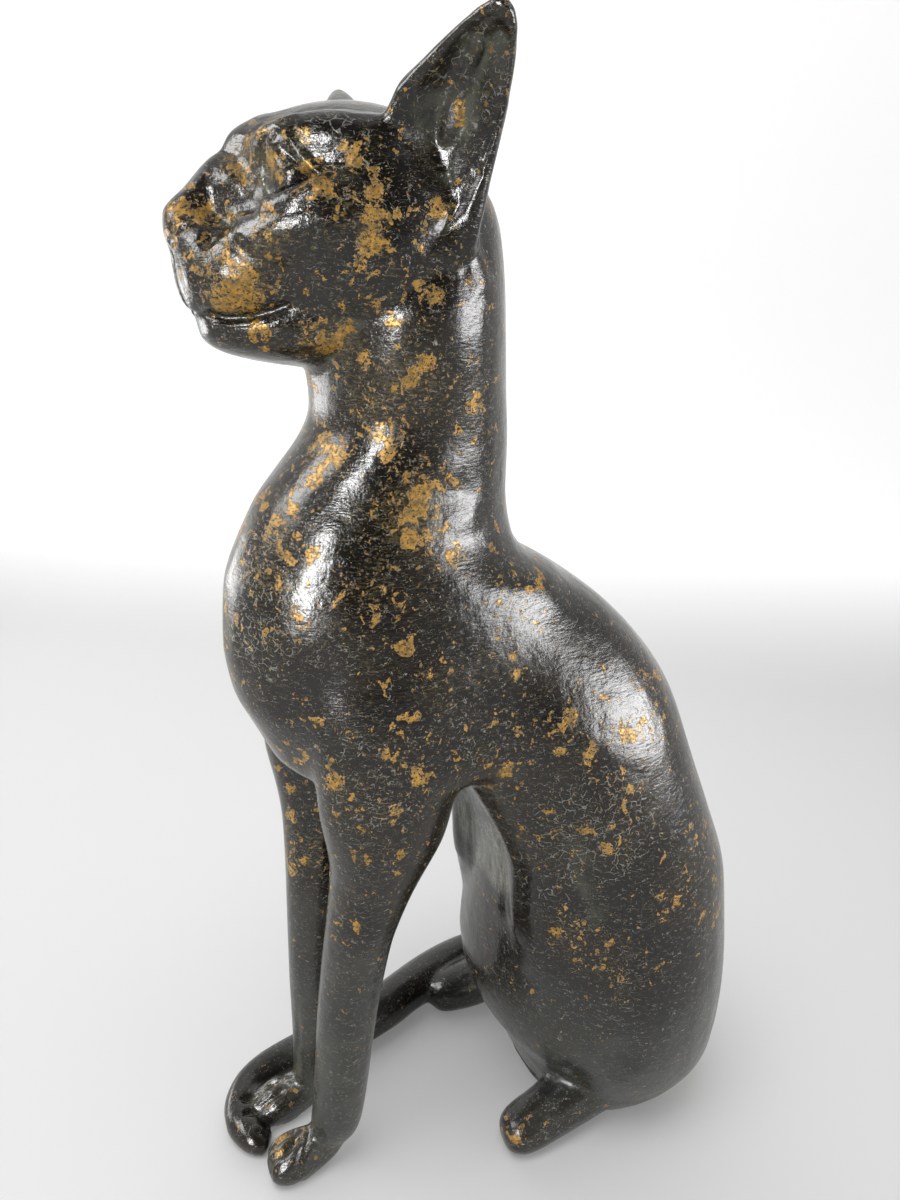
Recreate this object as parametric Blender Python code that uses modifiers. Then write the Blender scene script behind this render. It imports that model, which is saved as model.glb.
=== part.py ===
"""Seated cat figurine in the manner of an old temple cat, cast in resin as one piece.

The cat faces -Y, its left side is +X and it stands on its paws, haunches and tail.
Every form is a loft through a few named sections, in millimetres. The forms are fused,
softened, carved with a few strokes and cut flat below.
"""

import math

import bmesh
import bpy
import numpy as np
from mathutils import Matrix, Vector

MM = 0.001
HEIGHT = 300.0  # finished height to the ear tips, in millimetres
RING_POINTS = 28  # points round every section
STEPS = 3  # sections between two named ones
FUSE_SIZE = 1.1  # grid that makes the forms one skin
SOFTEN_FACTOR = 0.5
SOFTEN_ROUNDS = 12
FLANK_ROUNDS = 90  # softening that runs the chest into the haunches
FLANK_TOP = (172, 156)  # heights between which it fades in
FLANK_FOOT = (34, 76)  # and out again below
FLANK_FRONT = (-16, -2)
TRIANGLES = 9400
TAIL_SINK = 0.8  # how far the tail reaches below the floor before the cut
TINY = 1e-6
RESIN_COLOUR = (0.035, 0.031, 0.027, 1.0)
RESIN_ROUGHNESS = 0.32

ALONG_X = Vector((1, 0, 0))
ALONG_Y = Vector((0, 1, 0))
ALONG_Z = Vector((0, 0, 1))

# Haunches and back, by level: height, front, back, half width, squareness in front and behind.
HAUNCHES = [
    (-4, 24, 64, 24, 2.2, 2.2),
    (0, 20, 70, 30, 2.2, 2.2),
    (8, 16, 75.5, 36.5, 2.2, 2.2),
    (20, 11, 80, 43, 2.1, 2.2),
    (32, 4, 81.3, 46.5, 2.05, 2.2),
    (46, 0.5, 81.7, 48.3, 2.0, 2.2),
    (60, 2, 80.7, 48.4, 2.0, 2.2),
    (74, 3.5, 79, 47.6, 2.0, 2.2),
    (90, 4, 77, 46.2, 2.0, 2.2),
    (102, 2, 72.5, 44.6, 2.1, 2.2),
    (111, -1, 69.3, 43.6, 2.2, 2.2),
    (119, -5.5, 66.2, 42.6, 2.3, 2.2),
    (131, -13, 61.6, 41, 2.3, 2.3),
    (144, -20, 56.3, 38.8, 2.3, 2.4),
    (155, -24, 49.8, 35.7, 2.2, 2.5),
    (167, -28, 39.5, 31, 2.2, 2.5),
    (176, -29, 29, 26.5, 2.1, 2.4),
    (183, -28, 19, 22, 2.0, 2.3),
    (188, -27, 10.5, 17.5, 2.0, 2.1),
]

# Chest and neck, by level, with the same numbers.
TORSO = [
    (127.5, -26, -12, 13, 2.2, 2.2),
    (129.5, -38, 0, 21, 2.2, 2.2),
    (132.5, -50.5, 14, 29.5, 2.2, 2.2),
    (137, -58, 25, 33.5, 2.1, 2.2),
    (144, -61.5, 31, 34, 2.05, 2.3),
    (155, -66.5, 32, 33.5, 2.05, 2.4),
    (167, -68.5, 31, 32.5, 2.0, 2.5),
    (176, -68, 26, 31.5, 2.0, 2.6),
    (183, -67.3, 19, 30.6, 2.0, 2.6),
    (188, -66, 10.5, 29.8, 2.0, 2.4),
    (193, -64, 7.5, 28.5, 2.0, 2.1),
    (199, -61, 6.5, 27, 2.0, 2.0),
    (205, -57.5, 6, 26, 2.0, 2.0),
    (211, -52.5, 6, 25.4, 2.0, 2.0),
    (217, -47.5, 6, 25, 2.0, 2.0),
    (224, -43.5, 5.3, 25.3, 2.0, 2.0),
    (231, -43.5, 4.7, 26.6, 2.0, 2.0),
    (239, -43.5, 4.0, 28.2, 2.0, 2.0),
    (248, -42.5, 3.4, 29.2, 2.0, 2.0),
    (257, -38, 2.6, 28.5, 2.0, 2.0),
    (266, -34, 1, 26, 2.0, 2.0),
    (274, -28, -4, 21, 2.0, 2.0),
    (279, -26, -9, 14, 2.0, 2.0),
]

# Skull, from the face backwards: distance along, top, bottom, half width, squareness.
SKULL = [
    (-62, 278, 262, 7, 2.0),
    (-58, 282, 252, 13, 2.05),
    (-52, 286, 244, 19, 2.1),
    (-45, 289, 240, 24.5, 2.1),
    (-36, 290.7, 238, 28.5, 2.1),
    (-27, 290.5, 239, 30, 2.05),
    (-18, 287.5, 242, 29, 2.0),
    (-10, 281.5, 248, 25, 2.0),
    (-4, 275, 254, 19, 2.0),
    (0, 269, 259, 10, 2.0),
]

# Muzzle, from the lips backwards.
MUZZLE = [
    (-71.5, 264, 254, 4.5, 2.0),
    (-70, 266, 249, 8.5, 2.2),
    (-66, 267, 245.5, 12.5, 2.3),
    (-60, 268, 245, 15.5, 2.3),
    (-52, 269, 244, 18, 2.2),
    (-42, 269, 244, 20, 2.0),
]

# Lower jaw and chin.
JAW = [
    (-67.5, 247.5, 243, 4.5, 2.0),
    (-65.5, 250, 240.7, 8.3, 2.1),
    (-61, 252, 238.6, 11.8, 2.1),
    (-54, 254, 237, 15.3, 2.1),
    (-46, 256, 235.5, 18, 2.0),
    (-36, 258, 236, 19.5, 2.0),
    (-26, 258, 238, 19, 2.0),
    (-16, 256, 241, 16, 2.0),
]

# Ridge of the nose.
NOSE = [
    (-73, 268.3, 263, 3, 2.0),
    (-71.5, 270.2, 259, 5, 2.1),
    (-68, 273, 261, 5.5, 2.1),
    (-63, 278.3, 264, 5.5, 2.1),
    (-57, 284.3, 268, 7, 2.0),
    (-50, 288, 272, 10, 2.0),
]

# Brow on the left: across, along, height, radius.
BROW = [
    (9, -56.5, 277.5, 2.5),
    (11.5, -53.5, 279, 3.8),
    (15, -47, 280.5, 5.2),
    (19, -38, 280, 6.4),
    (20, -29, 278.5, 7),
    (19, -22, 277, 6),
]

# Cheekbone on the left: across, along, height, radius.
CHEEKBONE = [
    (9, -63, 260.5, 3),
    (13.3, -58.5, 262.3, 4.4),
    (17.5, -52.5, 264.2, 5.4),
    (20.7, -45.5, 266, 6.3),
    (21.6, -38, 267, 7.2),
    (19.6, -29, 266.5, 7.8),
    (15, -22, 266, 7),
]

# Left ear from its root to its tip: centre, half width, half thickness, cupping.
EAR_ACROSS = Vector((0.44, 0.85, -0.30)).normalized()
EAR_OUT = Vector((0.66, -0.52, -0.54)).normalized()
EAR = [
    ((24, -22, 262), 9, 6, 0.0),
    ((26.5, -22.5, 270), 11, 7, 0.9),
    ((28.3, -22.5, 279), 12.3, 7, 1.45),
    ((32, -20.8, 286.5), 11.2, 6.3, 1.5),
    ((36.8, -19, 291.6), 8.7, 5.2, 1.45),
    ((41.2, -17.9, 295.8), 6.3, 4.0, 1.3),
    ((45, -17.2, 298.9), 4.0, 2.8, 0.7),
    ((47.3, -16.9, 300.8), 1.8, 1.5, 0.0),
]

# Fullness between the left shoulder and the thigh: across, along, height, half width, half depth.
FLANK = [
    (14, -8, 178, 9, 11),
    (17.5, -6, 166, 13, 15),
    (19.5, -5, 154, 13.5, 15),
    (20.5, -2, 141, 13.3, 13),
    (21, 3.5, 128, 13, 12.5),
    (21, 10.5, 114, 13.5, 12.5),
    (21, 16.2, 101, 14.5, 14),
    (21.5, 19.5, 88, 15.5, 17),
    (22, 22, 75, 16, 17.8),
    (22, 25, 62, 15, 18),
    (22, 29, 48, 12, 16),
]

# Left front leg from the shoulder down: across, along, height, half width, half depth.
FRONT_LEG = [
    (15, -24, 187, 6, 13),
    (18.5, -25, 177, 10.5, 20.5),
    (20, -26, 166, 12.5, 25.5),
    (21, -28, 150, 14, 27),
    (20.5, -33, 134, 14, 19.5),
    (19.5, -34.2, 120, 13, 16.6),
    (17.3, -36.8, 105, 11.3, 12.3),
    (15.1, -40.4, 88, 10.1, 9.8),
    (13.5, -42.8, 72, 9.2, 9.1),
    (12.5, -45, 55, 8.6, 8.6),
    (12, -46.6, 40, 8.2, 8.2),
    (11.3, -48, 27, 7.9, 7.9),
    (10.9, -49.7, 16, 7.0, 7.5),
    (9.8, -52, 8.5, 4.4, 5.6),
    (9.5, -53.5, 4.5, 2.8, 4),
]

# Left front paw from heel to toes: along, top, bottom, half width, squareness.
FRONT_PAW_ACROSS = 10.6
FRONT_PAW = [
    (-48, 12.5, 5, 2.6, 2.0),
    (-51, 14, 2, 3.9, 2.1),
    (-57, 13.8, -0.6, 5.4, 2.2),
    (-63, 12.8, -1, 6.7, 2.2),
    (-67.5, 10.8, -0.5, 6.3, 2.1),
    (-70.6, 8.4, 1.4, 4.2, 2.0),
]

# Left hind paw from heel to toes: across, along, height, half width, half height.
HIND_PAW = [
    (25, 36, 12, 8.5, 11),
    (26.5, 25, 10.5, 8.5, 10),
    (27.5, 15, 8.5, 8.2, 8.8),
    (28.5, 7, 7, 7.8, 7.6),
    (29, 1.5, 6.4, 6.7, 6.5),
    (29.2, -1.5, 6.2, 4.2, 4.4),
]

# Tail along the floor, round the cat's right side: across, along, radius.
TAIL = [
    (4, 73, 9.8),
    (-16, 74, 9.2),
    (-31, 67, 8.9),
    (-40.5, 53, 8.7),
    (-44.5, 36, 8.5),
    (-46, 18, 8.2),
    (-43, 2, 7.9),
    (-36.8, -13, 7.8),
    (-31.6, -27, 7.5),
    (-28.8, -40, 6.8),
    (-28, -51, 6.0),
    (-26.7, -61, 5.4),
    (-22.7, -69.5, 5.1),
    (-15.7, -74.3, 5.0),
    (-8, -75.2, 4.9),
    (-1.5, -72.2, 4.5),
    (0.8, -68.5, 3.3),
]

# How the right side differs from the left: the ear and the front leg lean forward, by this
# much for each unit of height above their roots, and the hind paw stands further out.
RIGHT_EAR_LEAN = 0.08
RIGHT_EAR_ROOT = 262
RIGHT_LEG_LEAN = 0.055
RIGHT_LEG_ROOT = 10
LEAN_REACH = 95
RIGHT_HIND_PAW_OUT = 4.5

# Carving: the plane it is drawn on, its points, its radius, how far it raises the surface
# (below zero it sinks), and the lowest and highest corner of the region that it may touch.
SIDE = (1, 2)
FACE = (0, 2)
PLAN = (0, 1)
HEAD = ((-60, -80, 236), (60, 10, 302))
MUZZLE_END = ((-60, -80, 240), (60, -64, 262))
PAWS = ((-25, -80, 3), (25, -55, 20))
EARS = ((-60, -40, 255), (60, 10, 305))
THIGHS = ((-60, 0, 4), (60, 60, 60))
CARVING = [
    (SIDE, [(-58.5, 279), (-56.5, 275), (-58, 270)], 4.5, -1.6, HEAD),
    (SIDE, [(-55, 280), (-53.6, 275), (-53, 270.6)], 2.4, -0.9, HEAD),
    (SIDE, [(-50.6, 279.7), (-47.5, 277.6), (-45, 274.8)], 1.7, 0.6, HEAD),
    (SIDE, [(-49.5, 275)], 4.0, 0.8, HEAD),
    (SIDE, [(-53.1, 270.4), (-49.4, 271.6), (-45.2, 274.2)], 1.8, -0.8, HEAD),
    (SIDE, [(-59, 262.8), (-52, 265.8), (-45, 270), (-41, 273)], 3.6, 0.7, HEAD),
    (SIDE, [(-66.6, 247.5), (-63.2, 246.6), (-59.7, 246.8), (-56.5, 247.6)], 1.9, -0.9, HEAD),
    (SIDE, [(-57.5, 247.3), (-54.5, 248.2), (-51.6, 249.4)], 1.7, -0.6, HEAD),
    (SIDE, [(-62.5, 255.5), (-59, 253.5)], 6.0, 1.0, HEAD),
    (SIDE, [(-66, 262), (-64, 264.6), (-61.6, 266)], 1.9, -1.0, HEAD),
    (SIDE, [(-69.5, 265.5), (-66.5, 266.3)], 2.4, 0.5, HEAD),
    (FACE, [(0, 259), (0, 248.5)], 2.2, -1.1, MUZZLE_END),
    (SIDE, [(-18.5, 295), (-19.4, 288), (-20, 281)], 1.8, 0.9, EARS),
    (SIDE, [(27, 42), (23, 32), (20, 23)], 9.0, -1.0, THIGHS),
    (PLAN, [(7.6, -62), (7.4, -74)], 1.5, -1.1, PAWS),
    (PLAN, [(12.0, -61), (12.6, -74)], 1.5, -1.1, PAWS),
]


def superellipse(angle, power):
    """A point of the unit superellipse at this angle."""
    c = math.cos(angle)
    s = math.sin(angle)
    return (
        math.copysign(abs(c) ** (2 / power), c),
        math.copysign(abs(s) ** (2 / power), s),
    )


def ring(centre, side, up, half_side, half_up, power=2.0, low_power=None, cup=0.0):
    """Points round one section. A cup above zero hollows the side that up points to."""
    points = []
    for i in range(RING_POINTS):
        angle = 2 * math.pi * i / RING_POINTS
        lower = math.sin(angle) < 0 and low_power is not None
        across, along = superellipse(angle, low_power if lower else power)
        if along > 0:
            along *= 1 - cup * along * along
        points.append(centre + side * (half_side * across) + up * (half_up * along))
    return points


def add_loft(mesh, rings):
    """Skins the rings in order into one closed body with its faces pointing out."""
    part = bmesh.new()
    rows = [[part.verts.new(point) for point in points] for points in rings]
    for low, high in zip(rows, rows[1:]):
        for i in range(RING_POINTS):
            j = (i + 1) % RING_POINTS
            part.faces.new((low[i], low[j], high[j], high[i]))
    part.faces.new(rows[0])
    part.faces.new(rows[-1])
    bmesh.ops.recalc_face_normals(part, faces=part.faces)
    held = bpy.data.meshes.new("loft")
    part.to_mesh(held)
    part.free()
    mesh.from_mesh(held)
    bpy.data.meshes.remove(held)


def level_rings(stations):
    """Horizontal sections of the haunches or the chest."""
    rings = []
    for height, front, back, half_width, front_power, back_power in stations:
        centre = Vector((0, (front + back) / 2, height))
        half_depth = (back - front) / 2
        rings.append(
            ring(centre, ALONG_X, ALONG_Y, half_width, half_depth, back_power, front_power)
        )
    return rings


def upright_rings(stations, across=0.0):
    """Upright sections, one behind the other, of the head or a paw."""
    rings = []
    for along, top, bottom, half_width, power in stations:
        centre = Vector((across, along, (top + bottom) / 2))
        half_height = (top - bottom) / 2
        rings.append(ring(centre, ALONG_X, ALONG_Z, half_width, half_height, power))
    return rings


def headings(path):
    """The direction of the path at each of its points."""
    last = len(path) - 1
    return [
        (path[min(i + 1, last)] - path[max(i - 1, 0)]).normalized()
        for i in range(len(path))
    ]


def tube_rings(path, half_widths, half_depths, level_side=ALONG_X):
    """Sections square to a path, as for a limb, a brow or the tail."""
    rings = []
    for centre, heading, width, depth in zip(path, headings(path), half_widths, half_depths):
        side = (level_side - heading * level_side.dot(heading)).normalized()
        up = heading.cross(side)
        rings.append(ring(centre, side, up, width, depth))
    return rings


def mirrored(rings, lean=0.0, root=0.0, outward=0.0):
    """The same sections on the cat's right side, leaning forward above their root."""
    return [
        [
            Vector((-p.x - outward, p.y - lean * min(max(p.z - root, 0), LEAN_REACH), p.z))
            for p in points
        ]
        for points in rings
    ]


def smooth_path(points):
    """A Catmull-Rom curve through the points."""
    padded = [points[0] * 2 - points[1], *points, points[-1] * 2 - points[-2]]
    path = []
    for a, b, c, d in zip(padded, padded[1:], padded[2:], padded[3:]):
        for step in range(STEPS):
            t = step / STEPS
            square = (a * 2 - b * 5 + c * 4 - d) * t**2
            cube = (b * 3 - a - c * 3 + d) * t**3
            path.append((b * 2 + (c - a) * t + square + cube) / 2)
    path.append(points[-1])
    return path


def refined(stations):
    """The same stations with more between them, on smooth curves."""
    return [tuple(v) for v in smooth_path([Vector(s) for s in stations])]


def limb_rings(stations):
    """Sections of a limb, whose last two numbers are its half width and half depth."""
    stations = refined(stations)
    path = [Vector(s[:3]) for s in stations]
    return tube_rings(path, [s[3] for s in stations], [s[-1] for s in stations])


def ear_rings():
    """Cupped sections of the left ear."""
    return [
        ring(Vector(centre), EAR_ACROSS, EAR_OUT, width, thickness, cup=cup)
        for centre, width, thickness, cup in EAR
    ]


def tail_rings():
    """Sections of the tail, which is as thick as it is high."""
    stations = refined(TAIL)
    path = [Vector((x, y, radius - TAIL_SINK)) for x, y, radius in stations]
    radii = [radius for _, _, radius in stations]
    return tube_rings(path, radii, radii, ALONG_Z)


def rough_forms():
    """Every form of the cat, overlapping, in one mesh."""
    mesh = bmesh.new()
    for stations in (HAUNCHES, TORSO):
        add_loft(mesh, level_rings(refined(stations)))
    for stations in (SKULL, MUZZLE, JAW, NOSE):
        add_loft(mesh, upright_rings(refined(stations)))
    for rings in (
        limb_rings(BROW),
        limb_rings(CHEEKBONE),
        limb_rings(FLANK),
        upright_rings(refined(FRONT_PAW), FRONT_PAW_ACROSS),
    ):
        add_loft(mesh, rings)
        add_loft(mesh, mirrored(rings))
    ear = ear_rings()
    add_loft(mesh, ear)
    add_loft(mesh, mirrored(ear, RIGHT_EAR_LEAN, RIGHT_EAR_ROOT))
    front_leg = limb_rings(FRONT_LEG)
    add_loft(mesh, front_leg)
    add_loft(mesh, mirrored(front_leg, RIGHT_LEG_LEAN, RIGHT_LEG_ROOT))
    hind_paw = limb_rings(HIND_PAW)
    add_loft(mesh, hind_paw)
    add_loft(mesh, mirrored(hind_paw, outward=RIGHT_HIND_PAW_OUT))
    add_loft(mesh, tail_rings())
    bmesh.ops.scale(mesh, vec=(MM, MM, MM), verts=mesh.verts)
    held = bpy.data.meshes.new("seated_cat")
    mesh.to_mesh(held)
    mesh.free()
    return held


def settle(body):
    """Replaces the object's mesh with the result of its modifiers."""
    graph = bpy.context.evaluated_depsgraph_get()
    held = bpy.data.meshes.new_from_object(body.evaluated_get(graph))
    body.modifiers.clear()
    old = body.data
    body.data = held
    bpy.data.meshes.remove(old)


def fuse(body):
    """Makes the overlapping forms one skin and softens where they meet."""
    remesh = body.modifiers.new("fuse", "REMESH")
    remesh.mode = "VOXEL"
    remesh.voxel_size = FUSE_SIZE * MM
    soften = body.modifiers.new("soften", "SMOOTH")
    soften.factor = SOFTEN_FACTOR
    soften.iterations = SOFTEN_ROUNDS
    settle(body)


def share_between(value, start, end):
    """Rises from nought at the start to one at the end."""
    return min(max((value - start) / (end - start), 0.0), 1.0)


def run_together(body):
    """Softens the flanks, where the chest runs into the haunches."""
    flanks = body.vertex_groups.new(name="flanks")
    for vertex in body.data.vertices:
        _, along, height = vertex.co / MM
        share = share_between(height, *FLANK_TOP) * share_between(height, *FLANK_FOOT)
        share *= share_between(along, *FLANK_FRONT)
        if share > 0:
            flanks.add([vertex.index], share, "REPLACE")
    soften = body.modifiers.new("soften_flanks", "SMOOTH")
    soften.factor = SOFTEN_FACTOR
    soften.iterations = FLANK_ROUNDS
    soften.vertex_group = flanks.name
    settle(body)
    body.vertex_groups.clear()


def distances(points, path):
    """How far each point lies from a path of straight runs."""
    least = np.full(len(points), np.inf)
    for start, end in zip(path, path[1:] or path):
        run = np.subtract(end, start)
        share = np.clip((points - start) @ run / max(run @ run, TINY), 0, 1)
        gap = np.linalg.norm(points - start - share[:, None] * run, axis=1)
        least = np.minimum(least, gap)
    return least


def carve(body):
    """Raises or sinks the surface along each stroke, alike on both sides of the cat."""
    mesh = body.data
    count = len(mesh.vertices)
    points = np.empty(count * 3)
    mesh.vertices.foreach_get("co", points)
    points = points.reshape(-1, 3) / MM
    normals = np.empty(count * 3)
    mesh.vertex_normals.foreach_get("vector", normals)
    normals = normals.reshape(-1, 3)
    right_side = points * (-1, 1, 1)
    moved = points.copy()
    for plane, path, radius, rise, (low, high) in CARVING:
        inside = np.all((points >= low) & (points <= high), axis=1)
        flat = np.where(points[:, :1] >= 0, points, right_side)[:, plane]
        near = distances(flat, [np.array(p, float) for p in path]) / radius
        share = np.where(inside, np.clip(1 - near**2, 0, 1) ** 2, 0)
        moved += normals * (rise * share)[:, None]
    mesh.vertices.foreach_set("co", (moved * MM).ravel())
    mesh.update()


def cut_below(body):
    """Cuts the body flat at the floor."""
    mesh = bmesh.new()
    mesh.from_mesh(body.data)
    cut = bmesh.ops.bisect_plane(
        mesh,
        geom=mesh.verts[:] + mesh.edges[:] + mesh.faces[:],
        dist=TINY,
        plane_co=(0, 0, 0),
        plane_no=(0, 0, 1),
        clear_inner=True,
    )
    edges = [e for e in cut["geom_cut"] if isinstance(e, bmesh.types.BMEdge)]
    bmesh.ops.triangle_fill(mesh, edges=edges, use_beauty=True)
    bmesh.ops.recalc_face_normals(mesh, faces=mesh.faces)
    mesh.to_mesh(body.data)
    mesh.free()


def thin_out(body):
    """Brings the triangle count down while keeping the form."""
    triangles = sum(len(face.vertices) - 2 for face in body.data.polygons)
    decimate = body.modifiers.new("thin", "DECIMATE")
    decimate.ratio = TRIANGLES / triangles
    settle(body)


def seat(body):
    """Scales the body to its full height and centres it over the origin."""
    mesh = body.data
    corners = [Vector(corner) for corner in body.bound_box]
    low = Vector([min(values) for values in zip(*corners)])
    high = Vector([max(values) for values in zip(*corners)])
    middle = (low + high) / 2
    mesh.transform(Matrix.Translation((-middle.x, -middle.y, -low.z)))
    mesh.transform(Matrix.Scale(HEIGHT * MM / (high.z - low.z), 4))
    mesh.update()


def resin():
    """Near-black lacquered resin."""
    material = bpy.data.materials.new("painted_resin")
    material.use_nodes = True
    shader = material.node_tree.nodes["Principled BSDF"]
    shader.inputs["Base Color"].default_value = RESIN_COLOUR
    shader.inputs["Roughness"].default_value = RESIN_ROUGHNESS
    shader.inputs["Metallic"].default_value = 0.0
    material.diffuse_color = RESIN_COLOUR
    return material


def main():
    """Builds the cat in a collection of its own."""
    for old in list(bpy.data.objects):
        bpy.data.objects.remove(old)
    group = bpy.data.collections.new("seated_cat")
    bpy.context.scene.collection.children.link(group)
    body = bpy.data.objects.new("seated_cat", rough_forms())
    group.objects.link(body)
    fuse(body)
    run_together(body)
    carve(body)
    cut_below(body)
    thin_out(body)
    seat(body)
    body.data.materials.clear()
    body.data.materials.append(resin())
    body.data.shade_smooth()


main()
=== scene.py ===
"""Seated cat figurine: black lacquered resin rubbed with gold, on a pale studio sweep."""

import math

import bmesh
import bpy
import numpy as np
from bpy.props import FloatProperty, FloatVectorProperty, IntProperty, PointerProperty
from mathutils import Matrix, Vector
from mathutils.bvhtree import BVHTree


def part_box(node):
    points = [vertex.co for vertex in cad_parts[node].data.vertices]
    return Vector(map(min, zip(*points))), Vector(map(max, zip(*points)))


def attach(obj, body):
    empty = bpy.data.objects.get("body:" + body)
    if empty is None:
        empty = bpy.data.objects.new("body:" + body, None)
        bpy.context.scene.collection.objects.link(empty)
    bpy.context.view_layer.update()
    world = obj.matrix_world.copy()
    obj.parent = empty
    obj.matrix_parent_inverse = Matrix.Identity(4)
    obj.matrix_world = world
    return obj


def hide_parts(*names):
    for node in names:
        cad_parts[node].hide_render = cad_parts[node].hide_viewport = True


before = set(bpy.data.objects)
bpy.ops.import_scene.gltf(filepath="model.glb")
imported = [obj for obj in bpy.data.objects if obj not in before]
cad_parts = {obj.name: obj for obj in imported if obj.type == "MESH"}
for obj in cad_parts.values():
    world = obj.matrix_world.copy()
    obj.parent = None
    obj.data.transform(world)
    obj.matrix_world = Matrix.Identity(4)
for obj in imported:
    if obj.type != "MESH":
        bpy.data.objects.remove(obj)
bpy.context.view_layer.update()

bl_info = {
    "name": "Seated cat figurine",
    "version": (1, 0, 0),
    "blender": (4, 5, 0),
    "location": "View3D > Sidebar > Seated cat",
    "description": "Lacquered resin cat with rubbed gold, and a studio to see it in",
    "category": "Object",
}

NODE = "seated_cat"
LOW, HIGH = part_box(NODE)

# The carver's measure: one unit is a millimetre on the model that was carved. Across is from
# the cat's midline towards its left, along is towards its back, and height is above the floor.
CARVED_HEIGHT = 301.43
MIDLINE = 48.35
FOREFRONT = 79.92
UNIT = (HIGH.z - LOW.z) / CARVED_HEIGHT
ORIGIN = np.array((HIGH.x - MIDLINE * UNIT, LOW.y + FOREFRONT * UNIT, LOW.z))

EAR_LEAN = 0.08  # how the right ear leans forward, by height above its root
EAR_ROOT = 262
EAR_FRONT = -34  # nothing in front of this belongs to the ear
EAR_INNER = 22  # nothing nearer the midline than this does

# The face, which gets the finest skin: it lies in front of this, no further from the midline
# than this, and between these heights.
FACE_FRONT = -43
FACE_HALF = 26
FACE_LOW = 242
FACE_HIGH = 287

# The skin's smoothing: the heights where the body starts, is full, fades and ends, and how much
# of the body's smoothing the head and the paws get.
BODY_HEIGHTS = (12, 30, 215, 240)
FINE_SHARE = 0.35
SAME_CORNER = 1e-6  # corners of the casting nearer than this are one
ROUNDING = 0.75  # how far the skin follows the full curve between the casting's corners
FLAT_SOLE = 0.5  # skin lower than this is set flat on the floor
MOST_TRIANGLES = 200000

# Softened more: the side of each shoulder, by where it starts, is full, fades and ends, and then
# paths on the cat's left and mirrored to its right, with how far round them.
SHOULDER_HEIGHTS = (132, 150, 188, 206)
SHOULDER_ALONG = (-62, -52, -10, 4)
SHOULDER_ACROSS = (10, 17)
SOFTENED = (
    ([(20.5, -57.4, 262.4), (24.6, -52.0, 263.8), (27.0, -46.6, 267.0)], 9.0),
    ([(30.0, -6.0, 175.0), (31.0, 6.0, 169.0), (33.0, 18.0, 160.0), (36.0, 30.0, 150.0)], 15.0),
)
TINY = 1e-9  # stands in for the size of a run or a triangle that has none

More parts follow.
